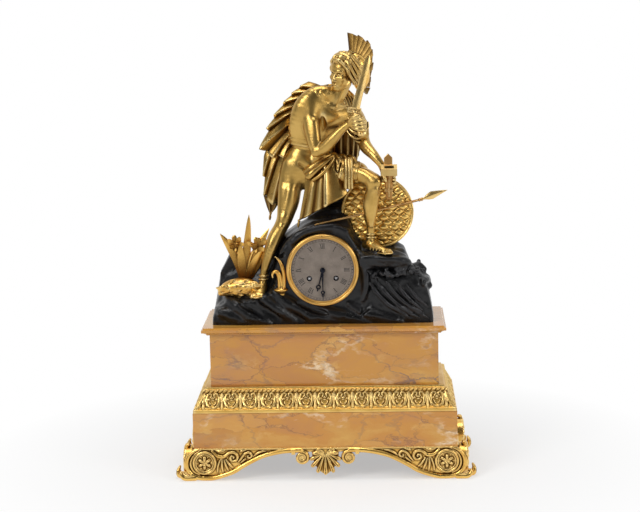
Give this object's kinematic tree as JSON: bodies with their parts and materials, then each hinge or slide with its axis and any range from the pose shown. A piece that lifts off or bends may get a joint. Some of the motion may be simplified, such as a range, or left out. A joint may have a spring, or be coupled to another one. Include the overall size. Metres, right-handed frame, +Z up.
{
  "type": "mantel clock",
  "caption": "Figural mantel clock: a gilt bronze warrior seated on a dark rock that holds the round dial and its movement, on a stepped marble plinth with bronze feet.",
  "frame": {"origin": "on the floor under the middle of the clock", "axes": "+Z up, the dial faces -Y, +X to the right of a person facing the dial"},
  "size_m": [0.466, 0.195, 0.687],
  "materials": {
    "gilt_bronze": "fire-gilt, matt and burnished",
    "black_bronze": "black patina",
    "marble": "polished",
    "dial_silvered": "silvered, matt",
    "blued_steel": "blued",
    "brass": "polished",
    "steel": "bright",
    "bell_metal": "turned",
    "wood": "plain"
  },
  "bodies": {
    "case": {"foot_frame_front": "gilt_bronze", "foot_frame_back": "gilt_bronze", "foot_frame_left": "gilt_bronze", "foot_frame_right": "gilt_bronze", "moulding_front": "gilt_bronze", "moulding_back": "gilt_bronze", "moulding_left": "gilt_bronze", "moulding_right": "gilt_bronze", "figure_body": "gilt_bronze", "figure_head": "gilt_bronze", "helmet": "gilt_bronze", "sword": "gilt_bronze", "right_arm": "gilt_bronze", "scabbard": "gilt_bronze", "left_arm": "gilt_bronze", "cloak": "gilt_bronze", "lap_drapery": "gilt_bronze", "shield": "gilt_bronze", "spear": "gilt_bronze", "plant_mound": "gilt_bronze", "iris_plant": "gilt_bronze", "sprout": "gilt_bronze", "bezel": "gilt_bronze", "lower_plinth": "marble", "upper_plinth": "marble", "top_slab": "marble", "base_board": "wood", "rock": "black_bronze", "dial": "dial_silvered", "tie_bolt_left": "steel", "tie_bolt_right": "steel", "bell_stand": "steel", "hinge_pin": "steel", "bell": "bell_metal", "suspension_cock": "brass", "front_plate": "brass", "back_plate": "brass", "rear_ring": "brass", "strap_upper": "brass", "strap_lower": "brass"},
    "centre": {"centre_arbor": "brass", "minute_hand": "blued_steel"},
    "hour": {"hour_wheel": "brass", "hour_hand": "blued_steel"},
    "motion": {"minute_wheel": "brass"},
    "going_second": {"going_second_wheel": "brass"},
    "going_barrel": {"going_barrel": "brass"},
    "third": {"third_wheel": "brass"},
    "escape": {"escape_wheel": "brass"},
    "going_arbor": {"going_arbor": "steel"},
    "pendulum": {"pendulum": "brass"},
    "anchor": {"anchor": "steel"},
    "strike_second": {"strike_second_wheel": "brass"},
    "strike_barrel": {"strike_barrel": "brass"},
    "pin_wheel": {"pin_wheel": "brass"},
    "fly": {"fly": "brass"},
    "strike_arbor": {"strike_arbor": "steel"},
    "hammer": {"hammer": "steel"},
    "rear_door": {"rear_door": "brass"}
  },
  "joints": [
    {"name": "minute_turn", "type": "hinge", "parent": "case", "child": "centre", "pos_m": [0, -0.04, 0.325], "axis": [0, 1, 0], "continuous": true},
    {"name": "hour_turn", "type": "hinge", "parent": "case", "child": "hour", "pos_m": [0, -0.055, 0.325], "axis": [0, 1, 0], "continuous": true},
    {"name": "motion_turn", "type": "hinge", "parent": "case", "child": "motion", "pos_m": [-0.0112, -0.05, 0.3362], "axis": [0, 1, 0], "continuous": true},
    {"name": "going_second_turn", "type": "hinge", "parent": "case", "child": "going_second", "pos_m": [0.01343, -0.029, 0.3351], "axis": [0, 1, 0], "continuous": true},
    {"name": "going_barrel_turn", "type": "hinge", "parent": "case", "child": "going_barrel", "pos_m": [0.0207, -0.029, 0.3117], "axis": [0, 1, 0], "continuous": true},
    {"name": "third_turn", "type": "hinge", "parent": "case", "child": "third", "pos_m": [-0.00988, -0.029, 0.33911], "axis": [0, 1, 0], "continuous": true},
    {"name": "escape_turn", "type": "hinge", "parent": "case", "child": "escape", "pos_m": [0, -0.029, 0.34818], "axis": [0, 1, 0], "continuous": true},
    {"name": "going_wind", "type": "hinge", "parent": "case", "child": "going_arbor", "pos_m": [0.0207, -0.035, 0.3117], "axis": [0, 1, 0], "continuous": true},
    {"name": "pendulum_swing", "type": "hinge", "parent": "case", "child": "pendulum", "pos_m": [0, -0.0065, 0.3625], "axis": [0, 1, 0], "range_deg": [-4, 4]},
    {"name": "anchor_rock", "type": "hinge", "parent": "case", "child": "anchor", "pos_m": [0, -0.02, 0.3625], "axis": [0, 1, 0], "range_deg": [-4, 4]},
    {"name": "strike_second_turn", "type": "hinge", "parent": "case", "child": "strike_second", "pos_m": [-0.02799, -0.029, 0.33509], "axis": [0, 1, 0], "continuous": true},
    {"name": "strike_barrel_turn", "type": "hinge", "parent": "case", "child": "strike_barrel", "pos_m": [-0.0207, -0.029, 0.3117], "axis": [0, 1, 0], "continuous": true},
    {"name": "pin_turn", "type": "hinge", "parent": "case", "child": "pin_wheel", "pos_m": [-0.02406, -0.029, 0.34792], "axis": [0, 1, 0], "continuous": true},
    {"name": "fly_turn", "type": "hinge", "parent": "case", "child": "fly", "pos_m": [-0.01719, -0.029, 0.35529], "axis": [0, 1, 0], "continuous": true},
    {"name": "strike_wind", "type": "hinge", "parent": "case", "child": "strike_arbor", "pos_m": [-0.0207, -0.035, 0.3117], "axis": [0, 1, 0], "continuous": true},
    {"name": "hammer_lift", "type": "hinge", "parent": "case", "child": "hammer", "pos_m": [-0.032, -0.006, 0.291], "axis": [0, 1, 0], "range_deg": [-15, 7], "stiffness_Nm_per_rad": 0.1},
    {"name": "rear_door_swing", "type": "hinge", "parent": "case", "child": "rear_door", "pos_m": [-0.056, 0.068, 0.325], "axis": [0, 0, 1], "range_deg": [0, 110]}
  ],
  "couplings": [
    {"joint": "hour_turn", "follows": "minute_turn", "ratio": 0.083333},
    {"joint": "motion_turn", "follows": "minute_turn", "ratio": -0.33333},
    {"joint": "going_second_turn", "follows": "minute_turn", "ratio": -0.16667},
    {"joint": "going_barrel_turn", "follows": "minute_turn", "ratio": 0.027778},
    {"joint": "third_turn", "follows": "minute_turn", "ratio": -6},
    {"joint": "escape_turn", "follows": "minute_turn", "ratio": 30},
    {"joint": "strike_barrel_turn", "follows": "strike_second_turn", "ratio": -0.16667},
    {"joint": "pin_turn", "follows": "strike_second_turn", "ratio": -5},
    {"joint": "fly_turn", "follows": "strike_second_turn", "ratio": 25},
    {"joint": "anchor_rock", "follows": "pendulum_swing", "ratio": 1}
  ]
}
